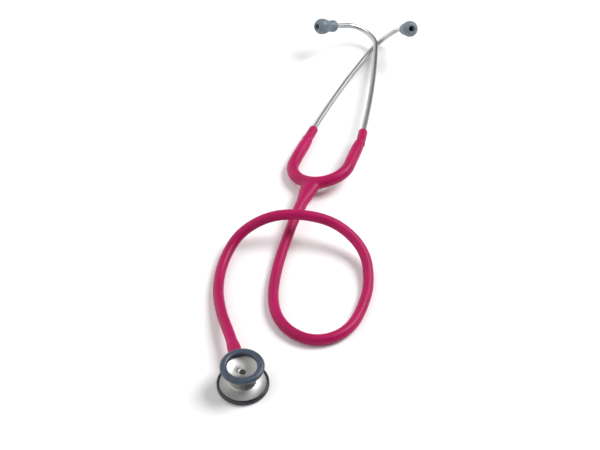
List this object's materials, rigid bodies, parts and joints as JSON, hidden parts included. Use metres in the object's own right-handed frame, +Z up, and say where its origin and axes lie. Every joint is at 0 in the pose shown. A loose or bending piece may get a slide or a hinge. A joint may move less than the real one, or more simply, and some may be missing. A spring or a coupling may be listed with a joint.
{
  "type": "stethoscope",
  "caption": "Lying stethoscope: moulded Y tubing in a loose loop, bent steel ear tubes with soft eartips, and a turning double-sided chestpiece.",
  "frame": {"origin": "on the table, under the centre of the box of the headset and the chestpiece", "axes": "+Y from the chestpiece towards the ears, +Z up from the table"},
  "size_m": [0.1874, 0.4722, 0.0537],
  "materials": {
    "pvc_pink": "soft gloss",
    "spring_steel": "plain",
    "chest_steel": "turned satin",
    "ring_slate": "satin",
    "diaphragm_film": "smooth",
    "rim_grey": "satin",
    "stem_steel": "polished",
    "seal_black": "plain",
    "ear_tube_steel": "satin",
    "ferrule_plastic": "plain",
    "eartip_soft": "soft satin"
  },
  "bodies": {
    "root": {"yoke": "pvc_pink", "binaural_spring": "spring_steel", "tubing": "pvc_pink", "stem": "stem_steel", "stem_o_ring": "seal_black"},
    "chestpiece": {"chestpiece_body": "chest_steel", "bell_ring": "ring_slate", "diaphragm": "diaphragm_film", "diaphragm_rim": "rim_grey", "retaining_ring": "spring_steel", "detent_ball": "stem_steel", "detent_spring": "spring_steel", "detent_screw": "stem_steel"},
    "left_arm": {"ear_tube_left": "ear_tube_steel", "spring_clamp_left": "spring_steel", "tip_ferrule_left": "ferrule_plastic"},
    "left_tip": {"eartip_left": "eartip_soft", "eartip_insert_left": "ferrule_plastic"},
    "right_arm": {"ear_tube_right": "ear_tube_steel", "spring_clamp_right": "spring_steel", "tip_ferrule_right": "ferrule_plastic"},
    "right_tip": {"eartip_right": "eartip_soft", "eartip_insert_right": "ferrule_plastic"}
  },
  "joints": [
    {"name": "left_spread", "type": "hinge", "parent": "root", "child": "left_arm", "pos_m": [-0.0188, 0.01016, 0.00979], "axis": [-0.1799, 0.0727, 0.981], "range_deg": [0, 6], "stiffness_Nm_per_rad": 1.2, "deforming": ["yoke", "binaural_spring"]},
    {"name": "right_spread", "type": "hinge", "parent": "root", "child": "right_arm", "pos_m": [-0.00764, 0.00642, 0.01212], "axis": [0.8281, -0.2858, -0.4822], "range_deg": [0, 35], "stiffness_Nm_per_rad": 1.2, "deforming": ["yoke", "binaural_spring"]},
    {"name": "left_eartip_pull", "type": "slide", "parent": "left_arm", "child": "left_tip", "axis": [0.2152, -0.7891, 0.5754], "range_m": [0, 0.012]},
    {"name": "right_eartip_pull", "type": "slide", "parent": "right_arm", "child": "right_tip", "axis": [-0.7793, -0.526, 0.3407], "range_m": [0, 0.012]},
    {"name": "chestpiece_turn", "type": "hinge", "parent": "root", "child": "chestpiece", "pos_m": [-0.0694, -0.2169, 0.012], "axis": [-0.2689, 0.9632, 0], "range_deg": [0, 180]}
  ]
}
